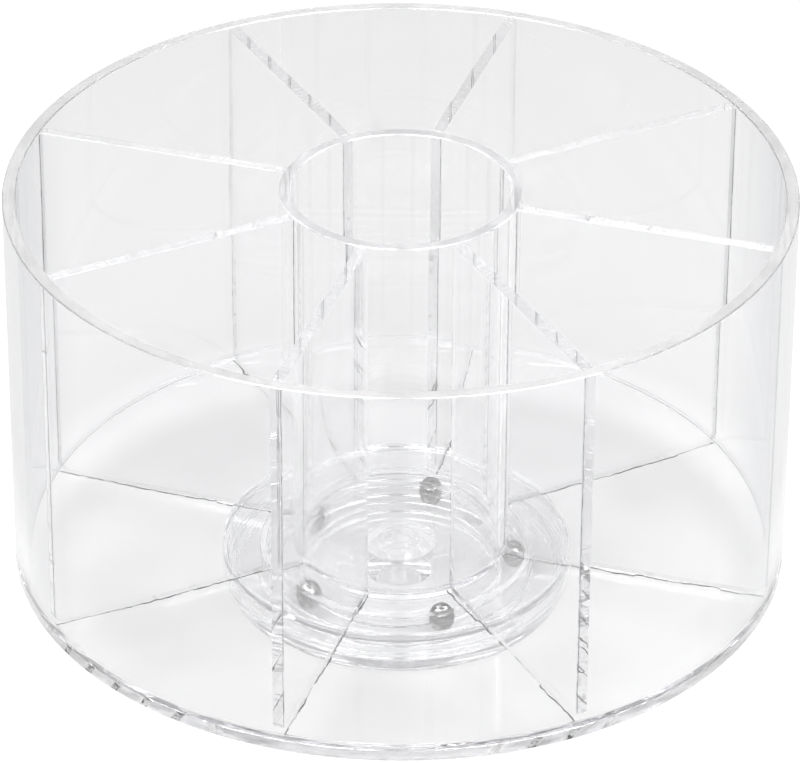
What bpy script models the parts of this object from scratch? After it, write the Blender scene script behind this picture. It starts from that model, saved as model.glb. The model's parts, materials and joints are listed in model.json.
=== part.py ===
"""Clear acrylic caddy that turns on a ball-bearing turntable. Metres, +Z up, origin on the table under the middle."""

import math

import bmesh
import bpy
from mathutils import Euler, Vector

# Drum
OUTER_D = 0.300
WALL_T = 0.005
WALL_H = 0.152
BASE_T = 0.005
CENTRE_TUBE_D = 0.092
CENTRE_TUBE_T = 0.0045
RIM_EASE = 0.0004

# Dividers, one plate between the tubes at each step of a turn
DIVIDER_COUNT = 8
DIVIDER_T = 0.0045
DIVIDER_EASE = 0.0003
DIVIDER_CORNER = 0.003

# Turntable plates
TURNTABLE_D = 0.140
LOWER_PLATE_INSET = 0.003
PLATE_WEB_T = 0.004
PLATE_RIM_T = 0.0022
LOWER_RIM_H = 0.005
UPPER_SKIRT_H = 0.007

# Balls and the ring that spaces them
BALL_COUNT = 5
BALL_D = 0.010
BALL_PITCH_D = 0.096
FIRST_BALL_DEG = -75.0
RETAINER_T = 0.003
RETAINER_MARGIN = 0.0025
TRACK_RIDGE_T = 0.0015
UPPER_RIDGE_H = 0.002

# Middle pin
PIN_D = 0.012
PIN_HEAD_D = 0.016
PIN_HEAD_T = 0.0012
PIN_NECK_D = 0.008
WASHER_T = 0.0014
LOWER_BOSS_D = 0.024
LOWER_BOSS_H = 0.0045
UPPER_BOSS_D = 0.0275
UPPER_BOSS_H = 0.004

# Feet
FOOT_COUNT = 4
FOOT_D = 0.010
FOOT_H = 0.0015
FOOT_CIRCLE_D = 0.110
FOOT_EASE = 0.0005

# Clearances: a glued or seated joint, a running fit, and how far a cutter overruns
SEAT_GAP = 0.0003
RUN_GAP = 0.0003
CUT_OVERRUN = 0.001
MERGE = 0.00001

# Facets round a turn
DRUM_STEPS = 120
TUBE_STEPS = 72
PLATE_STEPS = 72
PIN_STEPS = 24
FOOT_STEPS = 16
BALL_SEGMENTS = 16
BALL_RINGS = 10
SHARP_ANGLE = math.radians(35)

# Places that follow from the sizes, going up from the table
outer_r = OUTER_D / 2
wall_in_r = outer_r - WALL_T
tube_r = CENTRE_TUBE_D / 2
ball_r = BALL_D / 2
pitch_r = BALL_PITCH_D / 2
upper_plate_r = TURNTABLE_D / 2
lower_plate_r = upper_plate_r - LOWER_PLATE_INSET
lower_plate_z = FOOT_H + SEAT_GAP
lower_web_z = lower_plate_z + PLATE_WEB_T
ball_z = lower_web_z + RUN_GAP + ball_r
upper_web_z = ball_z + ball_r + RUN_GAP
upper_plate_z = upper_web_z + PLATE_WEB_T
base_z = upper_plate_z + SEAT_GAP
floor_z = base_z + BASE_T
wall_z = floor_z + SEAT_GAP
rim_z = wall_z + WALL_H
retainer_z = ball_z - RETAINER_T / 2
ridge_in_r = pitch_r - ball_r - RUN_GAP
ridge_out_r = pitch_r + ball_r + RUN_GAP
retainer_in_r = ridge_in_r - RETAINER_MARGIN
retainer_out_r = ridge_out_r + RETAINER_MARGIN
washer_seat_z = upper_plate_z - WASHER_T - 2 * SEAT_GAP
washer_z = washer_seat_z + SEAT_GAP


def clear_scene():
    for old in list(bpy.data.objects):
        bpy.data.objects.remove(old, do_unlink=True)


def collection(name):
    made = bpy.data.collections.new(name)
    bpy.context.scene.collection.children.link(made)
    return made


def material(name, colour, roughness, metallic=0.0, clear=0.0, ior=1.49):
    made = bpy.data.materials.new(name)
    made.use_nodes = True
    shader = made.node_tree.nodes["Principled BSDF"]
    shader.inputs["Base Color"].default_value = (*colour, 1)
    shader.inputs["Roughness"].default_value = roughness
    shader.inputs["Metallic"].default_value = metallic
    shader.inputs["Transmission Weight"].default_value = clear
    shader.inputs["IOR"].default_value = ior
    return made


def place(name, mesh, where, paint=None):
    """Makes an object of a mesh. Two objects may share one mesh, so the paint goes on the mesh once."""
    made = bpy.data.objects.new(name, mesh)
    where.objects.link(made)
    if paint and not mesh.materials:
        mesh.materials.append(paint)
    return made


def soften(mesh):
    mesh.shade_smooth()
    mesh.set_sharp_from_angle(angle=SHARP_ANGLE)


def apply_modifiers(piece):
    """Gives a piece the mesh that its modifiers make."""
    bpy.context.view_layer.update()
    profile = piece.data
    piece.data = bpy.data.meshes.new_from_object(piece.evaluated_get(bpy.context.evaluated_depsgraph_get()))
    piece.modifiers.clear()
    bpy.data.meshes.remove(profile)
    piece.data.name = piece.name


def ease_edges(piece, width):
    bevel = piece.modifiers.new("eased edges", "BEVEL")
    bevel.width = width
    bevel.segments = 1
    bevel.limit_method = "ANGLE"
    bevel.angle_limit = SHARP_ANGLE
    bevel.use_clamp_overlap = True


def turned(name, profile, steps, where, paint, closed):
    """Turns (radius, height) points about Z. They run down the outer side. A ring's profile is closed."""
    mesh = bpy.data.meshes.new(name)
    edges = [(i, i + 1) for i in range(len(profile) - 1)]
    if closed:
        edges.append((len(profile) - 1, 0))
    mesh.from_pydata([(r, 0, z) for r, z in profile], edges, [])
    piece = place(name, mesh, where, paint)
    screw = piece.modifiers.new("turn", "SCREW")
    screw.axis = "Z"
    screw.angle = math.tau
    screw.steps = steps
    screw.render_steps = steps
    screw.use_merge_vertices = True
    screw.merge_threshold = MERGE
    apply_modifiers(piece)
    soften(piece.data)
    return piece


def ring_profile(inner_r, outer_r, low, high):
    return [(inner_r, high), (outer_r, high), (outer_r, low), (inner_r, low)]


def cut(piece, cutter):
    boolean = piece.modifiers.new("cut", "BOOLEAN")
    boolean.operation = "DIFFERENCE"
    boolean.solver = "EXACT"
    boolean.object = cutter


def as_cutter(piece):
    piece.hide_render = True
    piece.display_type = "WIRE"
    return piece


def make_drum(where):
    base_paint = material("base_disc_acrylic", (0.93, 0.94, 0.95), 0.04, clear=1.0)
    wall_paint = material("outer_wall_acrylic", (0.94, 0.95, 0.96), 0.03, clear=1.0)
    tube_paint = material("centre_tube_acrylic", (0.94, 0.95, 0.96), 0.03, clear=1.0)
    disc = [(0, floor_z), (outer_r, floor_z), (outer_r, base_z), (0, base_z)]
    wall = ring_profile(wall_in_r, outer_r, wall_z, rim_z)
    tube = ring_profile(tube_r - CENTRE_TUBE_T, tube_r, wall_z, rim_z)
    ease_edges(turned("base_disc", disc, DRUM_STEPS, where, base_paint, False), RIM_EASE)
    ease_edges(turned("outer_wall", wall, DRUM_STEPS, where, wall_paint, True), RIM_EASE)
    ease_edges(turned("centre_tube", tube, TUBE_STEPS, where, tube_paint, True), RIM_EASE)


def divider_mesh(paint):
    """An upright plate from the tube to the wall, its low outer corner clipped, with its origin on the axis."""
    near, far = tube_r + SEAT_GAP, wall_in_r - SEAT_GAP
    outline = [
        (near, wall_z),
        (far - DIVIDER_CORNER, wall_z),
        (far, wall_z + DIVIDER_CORNER),
        (far, rim_z),
        (near, rim_z),
    ]
    curve = bpy.data.curves.new("divider_outline", "CURVE")
    curve.dimensions = "2D"
    curve.fill_mode = "BOTH"
    curve.extrude = DIVIDER_T / 2
    spline = curve.splines.new("POLY")
    spline.points.add(len(outline) - 1)
    for point, (r, z) in zip(spline.points, outline):
        point.co = (r, z, 0, 1)
    spline.use_cyclic_u = True
    flat = bpy.data.objects.new("divider_outline", curve)
    bpy.context.scene.collection.objects.link(flat)
    flat.rotation_euler = (math.radians(90), 0, 0)
    bpy.context.view_layer.update()
    mesh = bpy.data.meshes.new_from_object(flat.evaluated_get(bpy.context.evaluated_depsgraph_get()))
    mesh.transform(flat.matrix_world)
    bpy.data.objects.remove(flat, do_unlink=True)
    weld = bmesh.new()
    weld.from_mesh(mesh)
    bmesh.ops.remove_doubles(weld, verts=weld.verts, dist=MERGE)
    bmesh.ops.recalc_face_normals(weld, faces=weld.faces)
    weld.to_mesh(mesh)
    weld.free()
    mesh.name = "divider"
    mesh.materials.clear()
    mesh.materials.append(paint)
    return mesh


def make_dividers(where):
    """The first compartment from the -Y side is centred on -Y, so the dividers stand half a step off it."""
    mesh = divider_mesh(material("divider_acrylic", (0.93, 0.94, 0.95), 0.05, clear=1.0))
    step = math.tau / DIVIDER_COUNT
    for i in range(DIVIDER_COUNT):
        divider = place(f"divider_{i + 1}", mesh, where)
        divider.rotation_euler = (0, 0, -math.pi / 2 + (i - 0.5) * step)
        ease_edges(divider, DIVIDER_EASE)


def make_lower_plate(where, paint):
    """Web, outer rim, two ridges that carry the ball ring, and a boss round the pin with a seat for its head."""
    ridge_top = retainer_z - RUN_GAP
    rim_top = lower_web_z + LOWER_RIM_H
    boss_top = lower_web_z + LOWER_BOSS_H
    bore_r = PIN_D / 2 + SEAT_GAP
    head_r = PIN_HEAD_D / 2 + SEAT_GAP
    head_seat_z = lower_plate_z + PIN_HEAD_T + 2 * SEAT_GAP
    profile = [
        (bore_r, boss_top),
        (LOWER_BOSS_D / 2, boss_top),
        (LOWER_BOSS_D / 2, lower_web_z),
        (ridge_in_r - TRACK_RIDGE_T, lower_web_z),
        (ridge_in_r - TRACK_RIDGE_T, ridge_top),
        (ridge_in_r, ridge_top),
        (ridge_in_r, lower_web_z),
        (ridge_out_r, lower_web_z),
        (ridge_out_r, ridge_top),
        (ridge_out_r + TRACK_RIDGE_T, ridge_top),
        (ridge_out_r + TRACK_RIDGE_T, lower_web_z),
        (lower_plate_r - PLATE_RIM_T, lower_web_z),
        (lower_plate_r - PLATE_RIM_T, rim_top),
        (lower_plate_r, rim_top),
        (lower_plate_r, lower_plate_z),
        (head_r, lower_plate_z),
        (head_r, head_seat_z),
        (bore_r, head_seat_z),
    ]
    turned("turntable_bottom", profile, PLATE_STEPS, where, paint, True)


def make_upper_plate(where, paint):
    """The same plate turned over: web, skirt, shallow ridges beside the balls, and a boss with the washer's seat."""
    ridge_low = upper_web_z - UPPER_RIDGE_H
    skirt_low = upper_web_z - UPPER_SKIRT_H
    boss_low = upper_web_z - UPPER_BOSS_H
    bore_r = PIN_D / 2 + RUN_GAP
    seat_r = PIN_HEAD_D / 2 + RUN_GAP
    profile = [
        (seat_r, upper_plate_z),
        (upper_plate_r, upper_plate_z),
        (upper_plate_r, skirt_low),
        (upper_plate_r - PLATE_RIM_T, skirt_low),
        (upper_plate_r - PLATE_RIM_T, upper_web_z),
        (ridge_out_r + TRACK_RIDGE_T, upper_web_z),
        (ridge_out_r + TRACK_RIDGE_T, ridge_low),
        (ridge_out_r, ridge_low),
        (ridge_out_r, upper_web_z),
        (ridge_in_r, upper_web_z),
        (ridge_in_r, ridge_low),
        (ridge_in_r - TRACK_RIDGE_T, ridge_low),
        (ridge_in_r - TRACK_RIDGE_T, upper_web_z),
        (UPPER_BOSS_D / 2, upper_web_z),
        (UPPER_BOSS_D / 2, boss_low),
        (bore_r, boss_low),
        (bore_r, washer_seat_z),
        (seat_r, washer_seat_z),
    ]
    turned("turntable_top", profile, PLATE_STEPS, where, paint, True)


def ball_place(i):
    """Angle about Z and centre of one ball."""
    angle = math.radians(FIRST_BALL_DEG) + i * math.tau / BALL_COUNT
    return angle, Vector((pitch_r * math.cos(angle), pitch_r * math.sin(angle), ball_z))


def make_retainer(where, cutters):
    paint = material("ball_retainer_plastic", (0.90, 0.91, 0.93), 0.12, clear=0.9)
    profile = ring_profile(retainer_in_r, retainer_out_r, retainer_z, retainer_z + RETAINER_T)
    ring = turned("ball_retainer", profile, PLATE_STEPS, where, paint, True)
    pocket_r = ball_r + RUN_GAP
    for i in range(BALL_COUNT):
        shape = bmesh.new()
        bmesh.ops.create_cone(
            shape,
            cap_ends=True,
            segments=PIN_STEPS,
            radius1=pocket_r,
            radius2=pocket_r,
            depth=RETAINER_T + 2 * CUT_OVERRUN,
        )
        mesh = bpy.data.meshes.new("ball_pocket")
        shape.to_mesh(mesh)
        shape.free()
        pocket = as_cutter(place(f"ball_pocket_{i + 1}", mesh, cutters))
        pocket.location = ball_place(i)[1]
        cut(ring, pocket)


def make_balls(where):
    """Steel balls that roll about their own radius of the track, so each ball's poles lie on that radius."""
    shape = bmesh.new()
    bmesh.ops.create_uvsphere(shape, u_segments=BALL_SEGMENTS, v_segments=BALL_RINGS, radius=ball_r)
    mesh = bpy.data.meshes.new("bearing_ball")
    shape.to_mesh(mesh)
    shape.free()
    soften(mesh)
    mesh.materials.append(material("bearing_ball_steel", (0.62, 0.61, 0.60), 0.12, metallic=1.0))
    for i in range(BALL_COUNT):
        angle, centre = ball_place(i)
        ball = place(f"bearing_ball_{i + 1}", mesh, where)
        ball.location = centre
        ball.rotation_euler = Euler((0, math.radians(90), angle))


def make_pivot(where):
    """A headed pin from under the lower plate, with the washer that its neck carries above the upper plate's seat."""
    pin_paint = material("pivot_pin_plastic", (0.90, 0.91, 0.93), 0.10, clear=0.9)
    washer_paint = material("pivot_washer_plastic", (0.90, 0.91, 0.93), 0.10, clear=0.9)
    head_z = lower_plate_z + SEAT_GAP
    head_top = head_z + PIN_HEAD_T
    washer_top = washer_z + WASHER_T
    pin = [
        (0, washer_top),
        (PIN_NECK_D / 2, washer_top),
        (PIN_NECK_D / 2, washer_seat_z),
        (PIN_D / 2, washer_seat_z),
        (PIN_D / 2, head_top),
        (PIN_HEAD_D / 2, head_top),
        (PIN_HEAD_D / 2, head_z),
        (0, head_z),
    ]
    turned("pivot_pin", pin, PIN_STEPS, where, pin_paint, False)
    washer = ring_profile(PIN_NECK_D / 2 + SEAT_GAP, PIN_HEAD_D / 2, washer_z, washer_top)
    turned("pivot_washer", washer, PIN_STEPS, where, washer_paint, True)


def make_feet(where):
    paint = material("foot_vinyl", (0.86, 0.87, 0.88), 0.35, clear=0.6)
    foot_r = FOOT_D / 2
    profile = [(0, FOOT_H), (foot_r, FOOT_H), (foot_r, FOOT_EASE), (foot_r - FOOT_EASE, 0), (0, 0)]
    for i in range(FOOT_COUNT):
        angle = (i + 0.5) * math.tau / FOOT_COUNT
        foot = turned(f"foot_{i + 1}", profile, FOOT_STEPS, where, paint, False)
        foot.location = (FOOT_CIRCLE_D / 2 * math.cos(angle), FOOT_CIRCLE_D / 2 * math.sin(angle), 0)


def main():
    clear_scene()
    parts = collection("rotating_makeup_caddy")
    cutters = collection("cutters")
    make_drum(parts)
    make_dividers(parts)
    plate_paint = material("turntable_plastic", (0.90, 0.91, 0.93), 0.08, clear=0.95, ior=1.58)
    make_lower_plate(parts, plate_paint)
    make_upper_plate(parts, plate_paint)
    make_retainer(parts, cutters)
    make_balls(parts)
    make_pivot(parts)
    make_feet(parts)


main()
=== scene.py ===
"""Looks of the clear acrylic carousel. Metres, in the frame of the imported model."""

import json
import math

import bmesh
import bpy
from mathutils import Matrix, Vector, noise

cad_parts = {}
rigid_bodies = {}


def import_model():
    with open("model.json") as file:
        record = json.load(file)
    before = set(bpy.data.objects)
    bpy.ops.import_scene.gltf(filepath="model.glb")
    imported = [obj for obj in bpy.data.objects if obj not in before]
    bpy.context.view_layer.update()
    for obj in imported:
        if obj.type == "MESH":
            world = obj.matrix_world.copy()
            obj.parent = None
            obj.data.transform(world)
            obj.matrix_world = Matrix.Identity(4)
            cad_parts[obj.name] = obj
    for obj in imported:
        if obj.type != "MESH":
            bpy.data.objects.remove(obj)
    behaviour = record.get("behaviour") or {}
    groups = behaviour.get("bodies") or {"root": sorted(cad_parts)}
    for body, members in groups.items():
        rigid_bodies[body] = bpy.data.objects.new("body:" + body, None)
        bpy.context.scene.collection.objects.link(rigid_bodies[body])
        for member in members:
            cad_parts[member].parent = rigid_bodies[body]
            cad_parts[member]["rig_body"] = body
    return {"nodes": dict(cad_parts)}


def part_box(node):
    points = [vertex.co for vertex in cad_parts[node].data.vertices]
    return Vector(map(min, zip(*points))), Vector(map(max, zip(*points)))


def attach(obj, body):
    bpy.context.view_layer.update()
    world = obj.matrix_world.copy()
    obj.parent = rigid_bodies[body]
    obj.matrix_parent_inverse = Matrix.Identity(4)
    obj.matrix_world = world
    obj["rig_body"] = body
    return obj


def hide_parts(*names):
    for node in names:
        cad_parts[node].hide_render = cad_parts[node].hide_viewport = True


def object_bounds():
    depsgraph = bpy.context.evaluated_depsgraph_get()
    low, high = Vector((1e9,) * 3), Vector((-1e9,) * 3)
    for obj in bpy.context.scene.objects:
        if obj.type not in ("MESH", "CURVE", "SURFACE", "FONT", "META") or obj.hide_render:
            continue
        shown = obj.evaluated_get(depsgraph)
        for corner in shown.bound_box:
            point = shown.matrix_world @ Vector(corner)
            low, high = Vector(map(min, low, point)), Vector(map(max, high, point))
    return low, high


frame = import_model()
cad_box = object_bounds()

# Photograph and camera, found from the drum's outline
IMAGE_W = 800
FOCAL_PX = 5368.5
SENSOR = 36.0
CAMERA_DISTANCE = 2.1045
CAMERA_ELEVATION = math.radians(33.359)
CAMERA_AZIMUTH = math.radians(-5.0)
CAMERA_PITCH = math.radians(31.699)
CAMERA_ROLL = math.radians(0.305)

# Facets round a turn, and fillets of moulded and polished edges
DRUM_STEPS = 480
TUBE_STEPS = 288
PLATE_STEPS = 360
SMALL_STEPS = 64
POLISHED_FILLET = 0.0003
MOULDED_FILLET = 0.0007
FILLET_STEPS = 3
SHARP_ANGLE = math.radians(40)
BALL_SEGMENTS = 48
BALL_RINGS = 32

# Lengths closer than SAME are one length, and what is within NEAR of a face lies on it
SAME = 1e-6
NEAR = 1e-5

# A face belongs to the side of a plate whose direction it shares at least so far, as a cosine
SIDE_COSINE = 0.6

# Corners nearer than this to the bonds on the drum's floor stay sharp
BOND_MARGIN = 0.001

# Just outside the turntable's two bosses, which hold the greased pin
HUB_R = 0.0145

# The upper plate's web lies this far above the balls, and its shallow ridges reach down this far
WEB_OVER_BALLS = 0.0002
RIDGE_DEPTH = 0.0025

# Optics: refraction, tints of the light that passes, and the depths of fine bumps
ACRYLIC_IOR = 1.49
POLYSTYRENE_IOR = 1.58
VINYL_IOR = 1.52
GLUE_IOR = 1.45
THIN_RING_IOR = 1.33
ACRYLIC_TINT = (0.992, 0.992, 0.995)
# Painted shade: the wall's glass darkens to this tint where the view grazes it, on the drum's sides
GRAZING_SHADE_TINT = (0.78, 0.787, 0.805)
BOND_TINT = (0.99, 0.99, 0.992)
PLATE_TINT = (0.988, 0.988, 0.991)
GREASED_TINT = (0.985, 0.985, 0.988)
DRAW_LINE_DEPTH = 0.000004
FLOW_DEPTH = 0.000006
RIM_STREAK_DEPTH = 0.00006
EDGE_STREAK_DEPTH = 0.0001
VINYL_GRAIN_DEPTH = 0.00005

# Light. A softbox is its place and its power. The painted pool of light on the floor is distances from the
# axis with their levels.
AMBIENT = 0.64
ROOM_BEHIND = 0.5
ROOM_AT_CAMERA = 0.3
SOFTBOX_SIZE = (0.45, 0.5)
SOFTBOXES = {"softbox_left": ((-0.5, -0.56, 1.1), 5.4), "softbox_right": ((0.47, -0.59, 1.1), 7.1)}
SOFTBOX_GLOW = 22.0
SOFTBOX_HALF_ANGLE = math.radians(15)
SOFTBOX_BLUR = 1.25
SWEEP_EDGE = (0.05, 0.35)
ROOM_SIDES = (0.2, -0.85)
FLOOR_ALBEDO = 0.88
FLOOR_LIFT = 0.3
FLOOR_DROP = 0.0003
FLOOR_SIZE = 60.0
# Painted light that glows on the floor under the drum; its dip near the wall's foot is a painted shadow of
# the wall
PAINTED_LIGHT_POOL = ((0.04, 0.46), (0.08, 0.29), (0.128, 0.27), (0.146, 0.14), (0.16, 0.22), (0.2, 0.0))
# The two levels of soft painted patches of light and shade across that pool
PAINTED_LIGHT_PATCHES = (0.72, 1.12)
MAX_BOUNCES = 240

# Marks of the tool that turned the floor plate. A stretch has its middle and the cosines of its two limits.
CHATTER_PITCH = 0.01535
CHATTER_PHASE = math.radians(205.5)
CHATTER_SLANT = -300.0
CHATTER_STRETCHES = ((math.radians(219.5), 0.94, 0.962), (math.radians(287.5), 0.984, 0.991))

# Dried glue, which lies in the gaps between the glued pieces. A bead is its half width and its wander.
FLECKS_REACH = 0.08
GLUE_PROUD = 0.00026
GLUE_CLEAR = 0.00001
GLUE_STEP = 0.0007
GLUE_JOG = 0.0009
FOOT_BEAD = (0.00045, 0.0009)
FOOT_BEAD_OUTSIDE = 0.0001
FOOT_BEAD_MARGIN = 0.0003
OUTER_BEAD = (0.0002, 0.0002)
INNER_BEAD = (0.00014, 0.0002)
END_BEAD_INSIDE = 0.0003
END_BEAD_ABOVE_FLOOR = 0.004
END_BEAD_BELOW_TOP = 0.0012
WELD_INSET = 0.00001

nodes = frame["nodes"]
base_low, base_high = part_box("base_disc")
wall_low, wall_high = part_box("outer_wall")
tube_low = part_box("centre_tube")[0]
turntable_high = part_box("turntable_top")[1]
drum_r = wall_high.x
rim_z = wall_high.z
floor_z = base_high.z
turntable_r = turntable_high.x
turntable_z = turntable_high.z


# Shader building


class Shader:
    """A material's node tree with short calls for the nodes used here."""

    def __init__(self, name):
        self.material = bpy.data.materials.new(name)
        self.material.use_nodes = True
        self.tree = self.material.node_tree
        self.tree.nodes.clear()
        self.out = self.tree.nodes.new("ShaderNodeOutputMaterial")

    def node(self, kind, inputs=(), **settings):
        made = self.tree.nodes.new(kind)
        for key, value in settings.items():
            setattr(made, key, value)
        for key, value in dict(inputs).items():
            self.feed(made.inputs[key], value)
        return made

    def feed(self, socket, value):
        if isinstance(value, bpy.types.NodeSocket):
            self.tree.links.new(value, socket)
        else:
            socket.default_value = value

    def principled(self, **inputs):
        words = {
            "color": "Base Color",
            "rough": "Roughness",
            "metal": "Metallic",
            "clear": "Transmission Weight",
            "ior": "IOR",
            "normal": "Normal",
        }
        return self.node("ShaderNodeBsdfPrincipled", {words[k]: v for k, v in inputs.items()}).outputs[0]

    def glass(self, tint, ior, normal):
        return self.principled(color=(*tint, 1), rough=0.0, clear=1.0, ior=ior, normal=normal)

    def transparent(self, colour):
        return self.node("ShaderNodeBsdfTransparent", {"Color": colour}).outputs[0]

    def mix(self, share, a, b):
        return self.node("ShaderNodeMixShader", {0: share, 1: a, 2: b}).outputs[0]

    def add(self, a, b):
        return self.node("ShaderNodeAddShader", {0: a, 1: b}).outputs[0]

    def math(self, operation, a, b=0.0):
        return self.node("ShaderNodeMath", {0: a, 1: b}, operation=operation).outputs[0]

    def place(self, scale=(1, 1, 1)):
        """Object coordinates, which are the frame's, stretched."""
        where = self.node("ShaderNodeTexCoord").outputs["Object"]
        return self.node("ShaderNodeMapping", {"Vector": where, "Scale": scale}).outputs[0]

    def noise(self, where, scale, detail=2.0, rough=0.5):
        inputs = {"Vector": where, "Scale": scale, "Detail": detail, "Roughness": rough}
        return self.node("ShaderNodeTexNoise", inputs).outputs["Fac"]

    def ramp(self, value, *stops):
        """Stops are (place, grey or colour)."""
        made = self.node("ShaderNodeValToRGB", {"Fac": value})
        points = made.color_ramp.elements
        for place in (0, 1):
            points[place].position = stops[-place][0]
        for at, _ in stops[1:-1]:
            points.new(at)
        for point, (_, colour) in zip(points, stops):
            point.color = (*colour, 1) if isinstance(colour, tuple) else (colour, colour, colour, 1)
        return made.outputs[0]

    def bump(self, height, distance, strength=1.0):
        inputs = {"Height": height, "Distance": distance, "Strength": strength}
        return self.node("ShaderNodeBump", inputs).outputs[0]

    def facing(self):
        """0 where the surface faces the ray, and 1 where the ray only grazes it."""
        return self.node("ShaderNodeLayerWeight", {"Blend": 0.5}).outputs["Facing"]

    def lamps_through(self, shader, level=0.995):
        """Lets lamplight through glass as clear plastic does: less of it at a grazing angle."""
        losses = ((0.0, 0.0), (0.6, 0.01), (0.85, 0.05), (1.0, 0.2))
        passed = self.ramp(self.facing(), *((at, level - loss) for at, loss in losses))
        shadow_ray = self.node("ShaderNodeLightPath").outputs["Is Shadow Ray"]
        return self.mix(shadow_ray, shader, self.transparent(passed))

    def xyz(self):
        """Object coordinates, which are the frame's, as three outputs."""
        where = self.node("ShaderNodeTexCoord").outputs["Object"]
        return self.node("ShaderNodeSeparateXYZ", {0: where}).outputs

    def toward(self, angle):
        """1 on the drum's edge at an angle round the axis, and less on both sides of it, as the cosine."""
        parts = self.xyz()
        across = self.math("MULTIPLY", parts["X"], math.cos(angle) / drum_r)
        deep = self.math("MULTIPLY", parts["Y"], math.sin(angle) / drum_r)
        return self.math("ADD", across, deep)

    def along_plate(self, length, across, height):
        """A divider's own coordinates, stretched: distance from the axis, place across and height."""
        parts = self.xyz()
        squares = [self.math("MULTIPLY", parts[axis], parts[axis]) for axis in "XY"]
        radius = self.math("SQRT", self.math("ADD", *squares))
        out = self.math("MULTIPLY", radius, length)
        side = self.math("MULTIPLY", self.math("ADD", parts["X"], parts["Y"]), across)
        up = self.math("MULTIPLY", parts["Z"], height)
        return self.node("ShaderNodeCombineXYZ", {0: out, 1: side, 2: up}).outputs[0]

    def near_floor(self, reach):
        """1 at the drum's floor, falling to 0 a reach above it."""
        limits = {"From Min": floor_z, "From Max": floor_z + reach, "To Min": 1.0, "To Max": 0.0}
        return self.node("ShaderNodeMapRange", {"Value": self.xyz()["Z"], **limits}).outputs[0]

    def done(self, shader):
        self.tree.links.new(shader, self.out.inputs["Surface"])
        return self.material


def clear_acrylic(name, grazing_shade_tint=None):
    """Polished clear sheet or tube with faint draw lines. It can have another tint where it is grazed:
    painted shade, darker at the sides.
    """
    s = Shader(name)
    waves = s.bump(s.noise(s.place((4, 4, 0.6)), 6.0), DRAW_LINE_DEPTH)
    shader = s.glass(ACRYLIC_TINT, ACRYLIC_IOR, waves)
    if grazing_shade_tint:
        # Painted shade where the view grazes the glass
        grazing = s.glass(grazing_shade_tint, ACRYLIC_IOR, waves)
        shader = s.mix(s.ramp(s.facing(), (0.55, 0.0), (0.78, 1.0)), shader, grazing)
    return s.done(s.lamps_through(shader))


def polished_rim(name):
    """A rim turned and flame polished: a little greyer than the sheet, with soft streaks along it."""
    s = Shader(name)
    marks = s.noise(s.place((1, 1, 6)), 60.0, 3.0)
    shader = s.principled(
        color=s.ramp(marks, (0.35, 0.8), (0.65, 0.93)),
        rough=0.15,
        clear=0.8,
        ior=ACRYLIC_IOR,
        normal=s.bump(marks, RIM_STREAK_DEPTH),
    )
    return s.done(s.lamps_through(shader, 0.93))


def disc_edge(name):
    """The floor plate's turned edge: clear, with streaks in front and stretches of dark chatter marks."""
    s = Shader(name)
    where = s.place()
    parts = s.xyz()
    turn = s.math("SUBTRACT", s.math("ARCTAN2", parts["Y"], parts["X"]), CHATTER_PHASE)
    slant = s.math("MULTIPLY", parts["Z"], CHATTER_SLANT)
    along = s.math("ADD", s.math("MULTIPLY", turn, math.tau * drum_r / CHATTER_PITCH), slant)
    worst = 0.0
    for middle, faint, full in CHATTER_STRETCHES:
        worst = s.math("MAXIMUM", worst, s.ramp(s.toward(middle), (faint, 0.12), (full, 1.0)))
    waves = s.ramp(s.math("COSINE", along), (0.55, 0.0), (0.8, 1.0))
    specks = s.ramp(s.noise(where, 700.0, 3.0, 0.7), (0.38, 0.2), (0.55, 1.0))
    checks = s.math("MULTIPLY", s.math("MULTIPLY", waves, specks), worst)
    front = s.ramp(s.toward(math.radians(-90)), (0.0, 0.05), (0.3, 1.0))
    rows = s.ramp(s.noise(s.place((1, 1, 5)), 150.0, 3.0, 0.6), (0.45, 0.0), (0.68, 0.6))
    rows = s.math("MULTIPLY", rows, front)
    colour = s.ramp(s.math("MAXIMUM", checks, rows), (0.0, 0.98), (0.5, 0.72), (1.0, 0.05))
    frost = s.math("MULTIPLY", s.ramp(checks, (0.1, 0.15), (0.6, 0.9)), front)
    shader = s.principled(
        color=colour,
        rough=s.math("MULTIPLY", front, 0.08),
        clear=s.math("SUBTRACT", 1.0, frost),
        ior=ACRYLIC_IOR,
        normal=s.bump(s.noise(s.place((1, 1, 0.12)), 900.0, 2.0), EDGE_STREAK_DEPTH, 0.5),
    )
    return s.done(s.lamps_through(shader, 0.85))


def sawn_top(name):
    """A sawn and polished edge open to the air: clear, with stretches of faint grey saw marks across it."""
    s = Shader(name)
    marks = s.noise(s.along_plate(1.0, 0.12, 0.5), 900.0, 1.0)
    stretches = s.noise(s.along_plate(1.0, 0.5, 0.5), 24.0, 2.0)
    marks = s.ramp(marks, (0.42, 0.1), (0.6, 1.0))
    share = s.math("MULTIPLY", marks, s.ramp(stretches, (0.42, 0.08), (0.64, 0.34)))
    open_part = s.mix(
        0.25,
        s.transparent((0.975, 0.975, 0.98, 1)),
        s.principled(color=(0.97, 0.97, 0.975, 1), rough=0.1, clear=1.0, ior=ACRYLIC_IOR),
    )
    frost = s.principled(color=(0.9, 0.9, 0.92, 1), rough=0.35, clear=0.2, ior=ACRYLIC_IOR)
    return s.done(s.lamps_through(s.mix(share, open_part, frost), 0.94))


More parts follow.
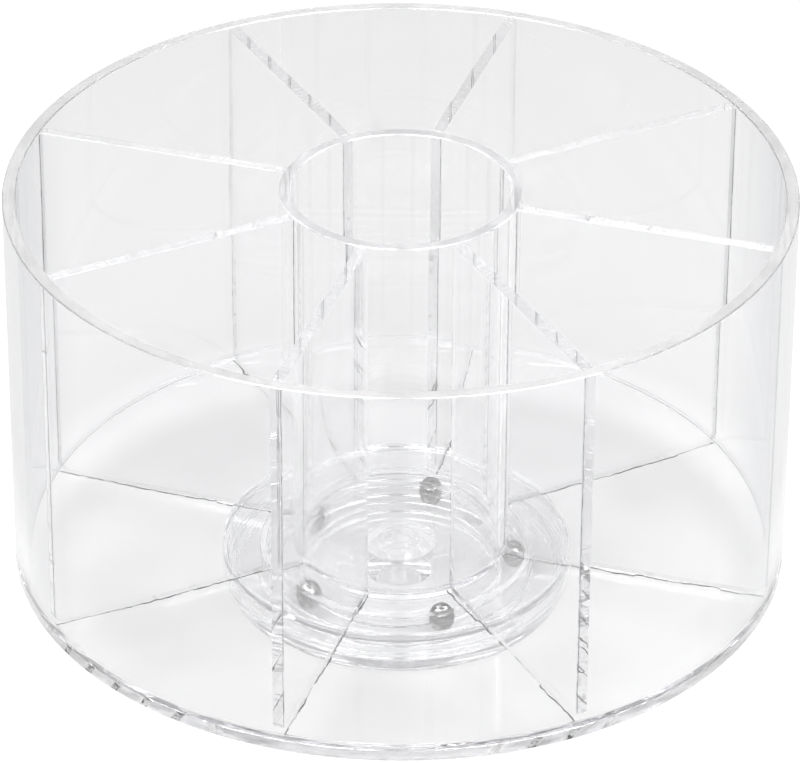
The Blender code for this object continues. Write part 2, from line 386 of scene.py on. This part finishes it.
def glued_end(name, frost_least, frost_most, fleck_strength):
    """A glued end, which the solvent has cleared but for pale saw marks and, low down, dark flecks."""
    s = Shader(name)
    marks = s.noise(s.along_plate(0.3, 0.45, 1.0), 620.0, 3.0, 0.7)
    patches = s.noise(s.along_plate(0.4, 0.5, 0.6), 70.0, 3.0)
    low = s.ramp(s.near_floor(FLECKS_REACH), (0.0, 0.0), (0.3, 1.0))
    flecks = s.math("MULTIPLY", s.ramp(marks, (0.4, 1.0), (0.45, 0.0)), low)
    pale, dark = (0.9, 0.9, 0.915, 1), (0.12, 0.12, 0.13, 1)
    colour = s.node("ShaderNodeMix", {0: flecks, 6: pale, 7: dark}, data_type="RGBA").outputs[2]
    frost = s.principled(color=colour, rough=0.4, clear=0.25, ior=ACRYLIC_IOR)
    share = s.ramp(patches, (0.35, frost_least), (0.65, frost_most))
    share = s.math("MAXIMUM", share, s.math("MULTIPLY", flecks, fleck_strength))
    shader = s.mix(share, s.transparent((*BOND_TINT, 1)), frost)
    return s.done(s.lamps_through(shader, 0.95))


def glued_flat(name, frost_most):
    """A face bonded to the piece below: the bond is clear but for a few pale flecks."""
    s = Shader(name)
    marks = s.noise(s.along_plate(1.0, 0.3, 0.5), 160.0, 3.0, 0.6)
    frost = s.principled(color=(0.93, 0.93, 0.94, 1), rough=0.3, clear=0.5, ior=ACRYLIC_IOR)
    share = s.ramp(marks, (0.6, 0.0), (0.75, frost_most))
    return s.done(s.lamps_through(s.mix(share, s.transparent((*BOND_TINT, 1)), frost), 0.97))


def moulded_plastic(name, tint, ior=POLYSTYRENE_IOR, strength=1.0, seen_through=GREASED_TINT):
    """Clear moulded plastic. A strength below 1 bends and mirrors less, as thin or greased plastic does."""
    s = Shader(name)
    flow = s.noise(s.place(), 25.0, 1.0)
    shader = s.glass(tint, ior, s.bump(flow, FLOW_DEPTH))
    if strength < 1.0:
        shader = s.mix(strength, s.transparent((*seen_through, 1)), shader)
    return s.done(s.lamps_through(shader))


def thin_clear_ring(name):
    """Thin clear plastic that hardly bends what is seen through it."""
    return moulded_plastic(name, (0.96, 0.96, 0.965), THIN_RING_IOR, 0.06, BOND_TINT)


def polished_steel(name):
    """Bearing steel, slightly uneven from wear."""
    s = Shader(name)
    wear = s.noise(s.place(), 900.0, 3.0)
    colour = s.ramp(wear, (0.3, (0.34, 0.335, 0.33)), (0.7, (0.44, 0.435, 0.43)))
    rough = s.ramp(wear, (0.3, 0.02), (0.75, 0.06))
    return s.done(s.principled(color=colour, rough=rough, metal=1.0))


def soft_vinyl(name):
    """The feet: clear soft vinyl with a fine grain."""
    s = Shader(name)
    grain = s.noise(s.place(), 1500.0, 2.0)
    relief = s.bump(grain, VINYL_GRAIN_DEPTH)
    shader = s.principled(color=(0.9, 0.9, 0.91, 1), rough=0.35, clear=0.85, ior=VINYL_IOR, normal=relief)
    return s.done(s.lamps_through(shader, 0.85))


def glue_resin(name, darkest, palest):
    """The dried edge of the glue between two pieces, dark where it holds small bubbles."""
    s = Shader(name)
    bubbles = s.noise(s.along_plate(1.0, 1.0, 1.0), 210.0, 3.0, 0.6)
    colour = s.ramp(bubbles, (0.38, darkest), (0.52, (2 * darkest + palest) / 3), (0.66, palest))
    shader = s.principled(color=colour, rough=0.2, clear=0.3, ior=GLUE_IOR)
    return s.done(s.lamps_through(shader, 0.7))


# Meshes


def radii(node):
    """The least and the greatest radius of a turned node."""
    reach = [math.hypot(v.co.x, v.co.y) for v in nodes[node].data.vertices]
    return min(reach), max(reach)


def section(node):
    """The outline of a turned CAD node at +X, as (radius, height) points down its outer side."""
    mesh = nodes[node].data

    def key(v):
        return (round(v.co.x, 6), round(v.co.z, 6))

    flat = {v.index: key(v) for v in mesh.vertices if abs(v.co.y) < NEAR and v.co.x > -NEAR}
    joined = {}
    for edge in mesh.edges:
        a, b = (flat.get(i) for i in edge.vertices)
        if a is None or b is None or a == b:
            continue
        joined.setdefault(a, set()).add(b)
        joined.setdefault(b, set()).add(a)
    ends = [p for p, others in joined.items() if len(others) == 1]
    start = max(ends or joined, key=lambda p: (p[1], -p[0]))
    path = [start]
    while True:
        options = sorted(q for q in joined[path[-1]] if q not in path[-2:] and q not in path)
        if not options:
            break
        path.append(options[-1])
    if ends:
        first = [(0.0, path[0][1])] if path[0][0] > NEAR else []
        last = [(0.0, path[-1][1])] if path[-1][0] > NEAR else []
        path = first + path + last
    return path, not ends


def fillet(path, closed, radius_at):
    """Rounds each corner of an outline, as far as its sides allow. radius_at gives a corner's radius."""
    out = []
    count = len(path)
    for i, point in enumerate(path):
        if not closed and i in (0, count - 1) or not radius_at(point):
            out.append(point)
            continue
        here, before, after = Vector(point), Vector(path[i - 1]), Vector(path[(i + 1) % count])
        back, on = before - here, after - here
        turn = math.pi - back.angle(on)
        if turn < math.radians(5):
            out.append(point)
            continue
        reach = min(radius_at(point) * math.tan(turn / 2), 0.45 * back.length, 0.45 * on.length)
        start, end = here + back.normalized() * reach, here + on.normalized() * reach
        for k in range(FILLET_STEPS + 1):
            t = k / FILLET_STEPS
            out.append(tuple((1 - t) ** 2 * start + 2 * t * (1 - t) * here + t * t * end))
    return out


def new_piece(name, mesh, *paints):
    piece = bpy.data.objects.new(name, mesh)
    bpy.context.scene.collection.objects.link(piece)
    for paint in paints:
        mesh.materials.append(paint)
    return piece


def shade(piece):
    """Smooth shading in which the big flat faces stay flat."""
    piece.data.shade_smooth()
    piece.data.set_sharp_from_angle(angle=SHARP_ANGLE)
    weigh = piece.modifiers.new("flat faces lead", "WEIGHTED_NORMAL")
    weigh.keep_sharp = True
    weigh.weight = 100


def turned(name, path, closed, steps, paints, paint_of):
    """Turns an outline about Z. paint_of gives the number of a side's paint from the side's two points."""
    shape = bmesh.new()
    rings = []
    for k in range(steps):
        a = math.tau * k / steps
        ring = []
        for r, z in path:
            ring.append(None if r < SAME else shape.verts.new((r * math.cos(a), r * math.sin(a), z)))
        rings.append(ring)
    poles = {i: shape.verts.new((0, 0, z)) for i, (r, z) in enumerate(path) if r < SAME}
    sides = [(i, i + 1) for i in range(len(path) - 1)] + ([(len(path) - 1, 0)] if closed else [])
    for k in range(steps):
        ring, after = rings[k], rings[(k + 1) % steps]
        for i, j in sides:
            if i in poles and j in poles:
                continue
            if i in poles:
                corners = (poles[i], ring[j], after[j])
            elif j in poles:
                corners = (ring[i], poles[j], after[i])
            else:
                corners = (ring[i], ring[j], after[j], after[i])
            face = shape.faces.new(corners)
            face.material_index = paint_of(path[i], path[j])
    bmesh.ops.recalc_face_normals(shape, faces=shape.faces)
    mesh = bpy.data.meshes.new(name)
    shape.to_mesh(mesh)
    shape.free()
    piece = new_piece(name, mesh, *paints)
    shade(piece)
    return piece


def stands_for(piece, node):
    """The piece rides on a CAD node's body and takes the node's place in the picture."""
    body = nodes[node]["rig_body"]
    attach(piece, body)
    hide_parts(node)
    return piece


# Drum


def make_drum():
    clear = clear_acrylic("clear_drum_acrylic")
    # The wall takes painted shade where the view grazes it
    wall = clear_acrylic("clear_wall_acrylic", GRAZING_SHADE_TINT)
    rim = polished_rim("polished_rim")
    glued = glued_flat("glued_ring", 0.12)
    edge = disc_edge("floor_edge")

    def wall_radius(point):
        return POLISHED_FILLET if point[1] > floor_z + BOND_MARGIN else 0.0

    def wall_paint(a, b):
        if min(a[1], b[1]) > rim_z - 2 * POLISHED_FILLET:
            return 1
        return 2 if max(a[1], b[1]) < wall_low.z + SAME else 0

    for name, node, steps, paint in (
        ("wall_shell", "outer_wall", DRUM_STEPS, wall),
        ("middle_tube", "centre_tube", TUBE_STEPS, clear),
    ):
        path, closed = section(node)
        path = fillet(path, closed, wall_radius)
        piece = turned(name, path, closed, steps, (paint, rim, glued), wall_paint)
        stands_for(piece, node)

    def edge_radius(point):
        return POLISHED_FILLET if point[1] < floor_z - BOND_MARGIN else 0.0

    bonds = [radii(node) for node in ("outer_wall", "centre_tube")]

    def disc_paint(a, b):
        if min(a[1], b[1]) > floor_z - SAME:
            middle = (a[0] + b[0]) / 2
            return 3 if any(inner < middle < outer for inner, outer in bonds) else 0
        if min(a[0], b[0]) > drum_r - NEAR:
            return 1
        if max(a[0], b[0]) > drum_r - 2 * POLISHED_FILLET and abs(a[0] - b[0]) < POLISHED_FILLET:
            return 2
        return 3 if max(a[1], b[1]) < base_low.z + NEAR and max(a[0], b[0]) < turntable_r + NEAR else 0

    path, closed = section("base_disc")
    path = fillet(path, closed, edge_radius)
    path.insert(-1, (turntable_r, base_low.z))
    bond_edges = sorted(r for bond in bonds for r in bond)
    path[1:1] = [(r, floor_z) for r in bond_edges[:-1]]
    disc = turned("floor_plate", path, closed, DRUM_STEPS, (clear, edge, rim, glued), disc_paint)
    stands_for(disc, "base_disc")

    def weld_paint(a, b):
        return 1 if a[1] == b[1] else 0

    for name, bond, ceiling in zip(("wall_weld", "tube_weld"), bonds, (wall_low.z, tube_low.z)):
        inner, outer = bond[0] + WELD_INSET, bond[1] - WELD_INSET
        low, high = floor_z + WELD_INSET, ceiling - WELD_INSET
        path = [(inner, high), (outer, high), (outer, low), (inner, low)]
        weld = turned(name, path, True, DRUM_STEPS, (clear, glued), weld_paint)
        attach(weld, nodes["base_disc"]["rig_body"])


def bead(shape, start, end, across, proud, size, jog, paint, seed):
    """Adds a thin wandering bead of dried glue, with sudden jogs, to the mesh that is being built."""
    half_width, wander = size
    length = (end - start).length
    steps = max(8, int(length / GLUE_STEP))
    rings = []
    for i in range(steps + 1):
        d = length * i / steps
        # Slow and quick drift, whole jogs, and a width that swells and now and then pinches
        drift = wander * (noise.noise((d * 70, seed, 0)) + 0.6 * noise.noise((d * 330, seed, 5)))
        drift += jog * round(2.6 * noise.noise((d * 28, seed, 21)))
        half = half_width * (0.5 + 0.6 * max(0.0, noise.noise((d * 160, seed, 9)) + 0.35))
        if abs(noise.noise((d * 45, seed, 13))) < 0.06:
            half *= 0.3
        middle = start.lerp(end, i / steps) + across * drift
        offsets = ((1, 0), (0.5, 1), (-0.5, 1), (-1, 0))
        rings.append([shape.verts.new(middle + across * half * a + proud * b) for a, b in offsets])
    faces = []
    for ring, after in zip(rings, rings[1:]):
        for k in range(len(ring)):
            j = (k + 1) % len(ring)
            faces.append(shape.faces.new((ring[k], after[k], after[j], ring[j])))
    faces += [shape.faces.new(ring) for ring in (rings[0], rings[-1])]
    for face in faces:
        face.material_index = paint


def reach_along(shape, way):
    """How far a mesh reaches along a direction, as its two ends."""
    places = [v.co.dot(way) for v in shape.verts]
    return min(places), max(places)


def make_dividers():
    paints = (
        clear_acrylic("clear_divider_acrylic"),
        sawn_top("sawn_top_edge"),
        glued_end("glued_outer_end", 0.1, 0.26, 0.4),
        glued_end("glued_inner_end", 0.0, 0.03, 0.08),
        glued_flat("glued_foot", 0.25),
        glue_resin("dried_glue", 0.1, 0.6),
        glue_resin("thin_dried_glue", 0.35, 0.8),
    )
    top, outer_end, inner_end, foot, dark_glue, pale_glue = range(1, 7)
    up = Vector((0, 0, 1))
    for number, node in enumerate(sorted(n for n in nodes if n.startswith("divider_"))):
        shape = bmesh.new()
        shape.from_mesh(nodes[node].data)
        bmesh.ops.remove_doubles(shape, verts=shape.verts, dist=SAME)
        bmesh.ops.recalc_face_normals(shape, faces=shape.faces)
        low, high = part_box(node)
        centre = (low + high) / 2
        out = Vector((centre.x, centre.y, 0)).normalized()
        side = Vector((-out.y, out.x, 0))
        if side.y > 0:
            side.negate()
        for face in shape.faces:
            face.smooth = False
            if face.normal.z > SIDE_COSINE:
                face.material_index = top
            elif face.normal.z < -SIDE_COSINE:
                face.material_index = foot
            elif abs(face.normal.dot(out)) > SIDE_COSINE:
                face.material_index = outer_end if face.normal.dot(out) > 0 else inner_end
        inner, outer = reach_along(shape, out)
        flank = reach_along(shape, side)[1]
        seed = number * 3.7
        ground = up * (floor_z + GLUE_CLEAR)
        along_foot = side * (flank + FOOT_BEAD_OUTSIDE) + ground
        start = out * (inner + FOOT_BEAD_MARGIN) + along_foot
        end = out * (outer - FOOT_BEAD_MARGIN) + along_foot
        bead(shape, start, end, side, up * GLUE_PROUD, FOOT_BEAD, GLUE_JOG, dark_glue, seed)
        corner = side * (flank - END_BEAD_INSIDE)
        bottom, crest = up * (floor_z + END_BEAD_ABOVE_FLOOR), up * (high.z - END_BEAD_BELOW_TOP)
        at = out * (outer + GLUE_CLEAR) + corner
        bead(shape, at + bottom, at + crest, side, out * GLUE_PROUD, OUTER_BEAD, 0.0, pale_glue, seed + 1)
        at = out * (inner - GLUE_CLEAR) + corner
        bead(shape, at + bottom, at + crest, side, -out * GLUE_PROUD, INNER_BEAD, 0.0, pale_glue, seed + 2)
        bmesh.ops.recalc_face_normals(shape, faces=shape.faces)
        mesh = bpy.data.meshes.new(node + "_plate")
        shape.to_mesh(mesh)
        shape.free()
        stands_for(new_piece(node + "_plate", mesh, *paints), node)


# Turntable


def make_turntable():
    plastic = moulded_plastic("turntable_clear_plastic", PLATE_TINT)
    greased = moulded_plastic("greased_clear_plastic", GREASED_TINT, strength=0.2)
    bonded = glued_flat("bonded_top", 0.08)
    faint = thin_clear_ring("faint_ridge_plastic")
    cage = thin_clear_ring("retainer_clear_plastic")

    # The shallow ridges beside the balls hardly bend the view of them.
    track_inner, track_outer = radii("ball_retainer")
    web_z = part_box("bearing_ball_1")[1].z + WEB_OVER_BALLS

    def plate_paint(a, b):
        if min(a[1], b[1]) > turntable_z - NEAR:
            return 1
        if max(a[0], b[0]) < HUB_R:
            return 3
        in_track = track_inner < min(a[0], b[0]) and max(a[0], b[0]) < track_outer
        return 2 if in_track and web_z - RIDGE_DEPTH < min(a[1], b[1]) < web_z else 0

    for name, node, steps, radius, paint in (
        ("turntable_upper_plate", "turntable_top", PLATE_STEPS, MOULDED_FILLET, plastic),
        ("turntable_lower_plate", "turntable_bottom", PLATE_STEPS, MOULDED_FILLET, plastic),
        ("pivot_pin_moulded", "pivot_pin", SMALL_STEPS, POLISHED_FILLET, greased),
        ("pivot_washer_moulded", "pivot_washer", SMALL_STEPS, POLISHED_FILLET, greased),
    ):
        path, closed = section(node)
        path = fillet(path, closed, lambda point, radius=radius: radius)
        piece = turned(name, path, closed, steps, (paint, bonded, faint, greased), plate_paint)
        stands_for(piece, node)
    nodes["ball_retainer"].data.materials.clear()
    nodes["ball_retainer"].data.materials.append(cage)


def make_balls():
    steel = polished_steel("ball_steel")
    for node in sorted(n for n in nodes if n.startswith("bearing_ball_")):
        low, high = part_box(node)
        shape = bmesh.new()
        radius = (high.z - low.z) / 2
        bmesh.ops.create_uvsphere(shape, u_segments=BALL_SEGMENTS, v_segments=BALL_RINGS, radius=radius)
        mesh = bpy.data.meshes.new(node + "_polished")
        shape.to_mesh(mesh)
        shape.free()
        mesh.shade_smooth()
        ball = new_piece(node + "_polished", mesh, steel)
        ball.location = (low + high) / 2
        stands_for(ball, node)


def make_feet():
    vinyl = soft_vinyl("foot_clear_vinyl")
    for node in sorted(n for n in nodes if n.startswith("foot_")):
        nodes[node].data.materials.clear()
        nodes[node].data.materials.append(vinyl)


# Surroundings


def make_floor():
    shape = bmesh.new()
    bmesh.ops.create_grid(shape, x_segments=1, y_segments=1, size=FLOOR_SIZE / 2)
    mesh = bpy.data.meshes.new("studio_floor")
    shape.to_mesh(mesh)
    shape.free()
    s = Shader("studio_floor_paper")
    white = (FLOOR_ALBEDO, FLOOR_ALBEDO, FLOOR_ALBEDO, 1)
    diffuse = s.node("ShaderNodeBsdfDiffuse", {"Color": white}).outputs[0]
    path = s.node("ShaderNodeLightPath").outputs
    # A painted pool of light, in place of the light that the clear walls gather, glows on the floor under
    # the drum and shows through its floor; only rays through glass or off gloss see it. It has a painted
    # shadow ring under the wall.
    radius = s.node("ShaderNodeVectorMath", {0: s.place()}, operation="LENGTH").outputs["Value"]
    # Soft painted patches of light and shade across the pool
    patches = s.ramp(s.noise(s.place(), 14.0, 1.5), (0.36, PAINTED_LIGHT_PATCHES[0]), (0.6, PAINTED_LIGHT_PATCHES[1]))
    painted_pool = s.math("MULTIPLY", s.ramp(radius, *PAINTED_LIGHT_POOL), patches)
    first = s.math("LESS_THAN", path["Diffuse Depth"], 0.5)
    through = s.math("MULTIPLY", s.math("SUBTRACT", first, path["Is Camera Ray"]), painted_pool)
    strength = s.math("ADD", s.math("MULTIPLY", path["Is Camera Ray"], FLOOR_LIFT), through)
    seen = s.node("ShaderNodeEmission", {"Color": (1, 1, 1, 1), "Strength": strength}).outputs[0]
    floor = new_piece("studio_floor", mesh, s.done(s.add(diffuse, seen)))
    floor.location.z = cad_box[0].z - FLOOR_DROP


def make_world():
    """An even white that lights the scene, and a studio that only gloss and glass see."""
    world = bpy.data.worlds.new("white_studio")
    bpy.context.scene.world = world
    world.use_nodes = True
    world.cycles.sampling_method = "NONE"
    tree = world.node_tree
    tree.nodes.clear()

    def add(kind, **settings):
        made = tree.nodes.new(kind)
        for key, value in settings.items():
            setattr(made, key, value)
        return made

    def smooth(value, *limits):
        """A smooth step. The limits are the values where it starts and ends, and its two levels."""
        step = add("ShaderNodeMapRange", interpolation_type="SMOOTHSTEP")
        for key, limit in zip(("From Min", "From Max", "To Min", "To Max"), limits):
            step.inputs[key].default_value = limit
        tree.links.new(value, step.inputs["Value"])
        return step.outputs[0]

    out = add("ShaderNodeOutputWorld")
    lit, seen = add("ShaderNodeBackground"), add("ShaderNodeBackground")
    lit.inputs["Color"].default_value = (1, 1, 1, 1)
    lit.inputs["Strength"].default_value = AMBIENT
    seen.inputs["Color"].default_value = (1, 1, 1, 1)
    where = add("ShaderNodeTexCoord").outputs["Generated"]
    split = add("ShaderNodeSeparateXYZ")
    tree.links.new(where, split.inputs[0])
    # Above the horizon the white sweep ends in a greyer room, darkest behind the camera.
    above = smooth(split.outputs["Z"], *SWEEP_EDGE, 0.0, 1.0)
    room = smooth(split.outputs["Y"], *ROOM_SIDES, ROOM_BEHIND, ROOM_AT_CAMERA)
    level = add("ShaderNodeMix", data_type="FLOAT")
    level.inputs[2].default_value = 1.0
    tree.links.new(above, level.inputs[0])
    tree.links.new(room, level.inputs[3])
    total = level.outputs[0]
    patch_edges = [math.cos(SOFTBOX_HALF_ANGLE * blur) for blur in (SOFTBOX_BLUR, 1)]
    for place, _ in SOFTBOXES.values():
        match = add("ShaderNodeVectorMath", operation="DOT_PRODUCT")
        tree.links.new(where, match.inputs[0])
        match.inputs[1].default_value = Vector(place).normalized()
        patch = smooth(match.outputs["Value"], *patch_edges, 0.0, SOFTBOX_GLOW)
        lit_up = add("ShaderNodeMath", operation="ADD")
        tree.links.new(total, lit_up.inputs[0])
        tree.links.new(patch, lit_up.inputs[1])
        total = lit_up.outputs[0]
    tree.links.new(total, seen.inputs["Strength"])
    path = add("ShaderNodeLightPath").outputs
    diffuse_first = add("ShaderNodeMath", operation="GREATER_THAN")
    tree.links.new(path["Diffuse Depth"], diffuse_first.inputs[0])
    diffuse_first.inputs[1].default_value = 0.5
    choose = add("ShaderNodeMixShader")
    tree.links.new(diffuse_first.outputs[0], choose.inputs[0])
    tree.links.new(seen.outputs[0], choose.inputs[1])
    tree.links.new(lit.outputs[0], choose.inputs[2])
    tree.links.new(choose.outputs[0], out.inputs["Surface"])


def make_lights():
    """The lamps light the floor. What gloss and glass show of them is the world's pair of bright patches."""
    for name, (place, power) in SOFTBOXES.items():
        data = bpy.data.lights.new(name, "AREA")
        data.shape = "RECTANGLE"
        data.size, data.size_y = SOFTBOX_SIZE
        data.energy = power
        lamp = bpy.data.objects.new(name, data)
        bpy.context.scene.collection.objects.link(lamp)
        lamp.location = place
        lamp.rotation_euler = (-Vector(place)).to_track_quat("-Z", "Y").to_euler()
        lamp.visible_camera = False
        lamp.visible_glossy = False
        lamp.visible_transmission = False


def make_camera():
    data = bpy.data.cameras.new("photo_camera")
    data.sensor_width = SENSOR
    data.lens = FOCAL_PX * SENSOR / IMAGE_W
    camera = bpy.data.objects.new("photo_camera", data)
    bpy.context.scene.collection.objects.link(camera)
    reach = CAMERA_DISTANCE * math.cos(CAMERA_ELEVATION)
    camera.location = (
        reach * math.sin(CAMERA_AZIMUTH),
        -reach * math.cos(CAMERA_AZIMUTH),
        base_low.z + CAMERA_DISTANCE * math.sin(CAMERA_ELEVATION),
    )
    look = Vector(
        (
            -math.sin(CAMERA_AZIMUTH) * math.cos(CAMERA_PITCH),
            math.cos(CAMERA_AZIMUTH) * math.cos(CAMERA_PITCH),
            -math.sin(CAMERA_PITCH),
        )
    )
    turn = look.to_track_quat("-Z", "Y").to_matrix().to_4x4() @ Matrix.Rotation(CAMERA_ROLL, 4, "Z")
    camera.rotation_euler = turn.to_euler()
    bpy.context.scene.camera = camera


def set_render_limits():
    scene = bpy.context.scene
    scene.view_settings.view_transform = "Standard"
    scene.cycles.max_bounces = MAX_BOUNCES
    scene.cycles.transmission_bounces = MAX_BOUNCES
    scene.cycles.glossy_bounces = MAX_BOUNCES
    scene.cycles.transparent_max_bounces = MAX_BOUNCES


make_drum()
make_dividers()
make_turntable()
make_balls()
make_feet()
make_floor()
make_world()
make_lights()
make_camera()
set_render_limits()
